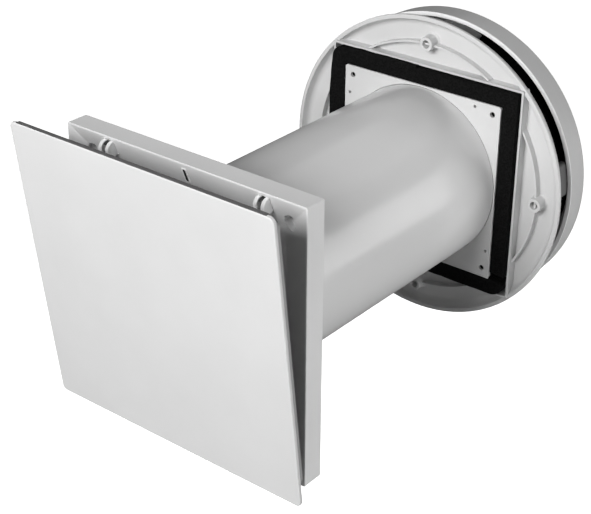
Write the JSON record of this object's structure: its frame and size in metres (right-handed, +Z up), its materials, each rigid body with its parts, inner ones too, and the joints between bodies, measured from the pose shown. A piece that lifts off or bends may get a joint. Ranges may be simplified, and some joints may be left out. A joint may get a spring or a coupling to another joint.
{
  "type": "through-wall room ventilation unit",
  "caption": "Room extractor and ventilation unit with a square frame, tilting flat cover, round wall tube and round outdoor hood with an air gap all round.",
  "frame": {"origin": "on the wall tube's axis, in the plane where the room frame meets the room-side wall face", "axes": "+Y along the tube through the wall to the outdoors, so the room is at -Y; +Z up; +X to the right for someone in the room who looks at the cover"},
  "size_m": [0.28, 0.4124, 0.28],
  "materials": {
    "frame_white": "fine satin, moulded",
    "cover_white": "satin, moulded",
    "catch_white": "satin, moulded",
    "light_grey": "satin, moulded",
    "tube_white": "smooth, slightly glossy",
    "hood_white": "smooth satin",
    "black_plastic": "matt black",
    "black_mesh": "fine black net",
    "black_rubber": "matt black",
    "dark_grey": "matt dark grey",
    "black_foam": "open foam, matt black",
    "fleece": "non-woven fleece",
    "insulation": "expanded foam beads",
    "ceramic": "unglazed ceramic",
    "magnet": "sintered, dark",
    "copper": "wound enamelled wire",
    "steel": "plain",
    "board": "lacquered board"
  },
  "bodies": {
    "unit": {"room_frame": "frame_white", "window_bezel": "catch_white", "window_lens": "black_plastic", "snap_catch_left": "catch_white", "snap_catch_right": "catch_white", "catch_spring_left": "black_rubber", "catch_spring_right": "black_rubber", "hinge_bracket_left": "catch_white", "hinge_bracket_right": "catch_white", "tube_seal": "black_foam", "wall_tube": "tube_white", "flange_plate": "hood_white", "filter_holder": "light_grey", "room_filter": "fleece", "fan_housing": "black_plastic", "motor_stator": "copper", "bearing_front": "steel", "bearing_rear": "steel", "guide_vanes": "black_plastic", "insulation_upper": "insulation", "insulation_lower": "insulation", "core_filter_room": "fleece", "heat_core": "ceramic", "core_filter_outdoor": "fleece", "control_board": "board", "terminal_block": "black_plastic", "foam_gasket": "black_foam", "hood_base": "hood_white", "insect_screen": "black_mesh", "hood_foam": "black_foam", "hood_cover": "hood_white", "hood_screw_1": "steel", "hood_screw_2": "steel", "hood_screw_3": "steel", "hood_screw_4": "steel", "hood_screw_5": "steel"},
    "cover": {"cover_plate": "cover_white", "cover_seal": "dark_grey", "cover_tray": "light_grey", "snap_stud_left": "light_grey", "snap_stud_right": "light_grey", "hinge_arm_left": "light_grey", "hinge_arm_right": "light_grey", "hinge_pin_left": "steel", "hinge_pin_right": "steel"},
    "rotor": {"impeller": "black_plastic", "motor_shaft": "steel", "rotor_magnet": "magnet"}
  },
  "joints": [
    {"name": "cover_tilt", "type": "hinge", "parent": "unit", "child": "cover", "pos_m": [0, -0.025, -0.101], "axis": [1, 0, 0], "range_deg": [-7, 0]},
    {"name": "impeller_spin", "type": "hinge", "parent": "unit", "child": "rotor", "pos_m": [0, 0.04, 0], "axis": [0, 1, 0], "continuous": true}
  ]
}
